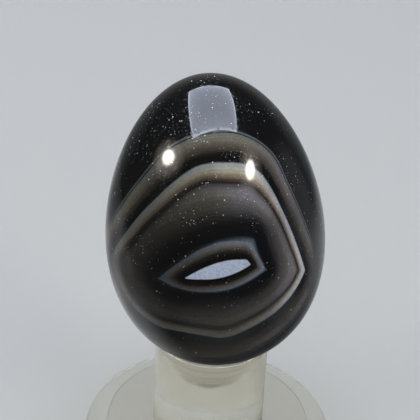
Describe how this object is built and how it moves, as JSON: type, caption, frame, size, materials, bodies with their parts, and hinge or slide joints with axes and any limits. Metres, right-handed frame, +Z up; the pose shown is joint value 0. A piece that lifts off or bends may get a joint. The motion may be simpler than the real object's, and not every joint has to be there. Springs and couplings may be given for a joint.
{
  "type": "decorative egg on stand",
  "caption": "Polished black banded-agate egg resting loose in the countersunk top of a clear acrylic column on a bevelled clear disc.",
  "frame": {"origin": "centre of the base's underside, on the surface it stands on", "axes": "+Z up along the column's axis; +X to the viewer's right, with the egg leaning a little towards -X; -Y towards the viewer"},
  "size_m": [0.0426, 0.0426, 0.0716],
  "materials": {
    "banded_agate": "polished",
    "clear_acrylic": "polished, clear"
  },
  "bodies": {
    "stand": {"stand_base": "clear_acrylic", "stand_column": "clear_acrylic"},
    "egg": {"agate_egg": "banded_agate"}
  },
  "joints": [
    {"name": "egg_lift", "type": "slide", "parent": "stand", "child": "egg", "axis": [0, 0, 1], "range_m": [0, 0.06]}
  ]
}
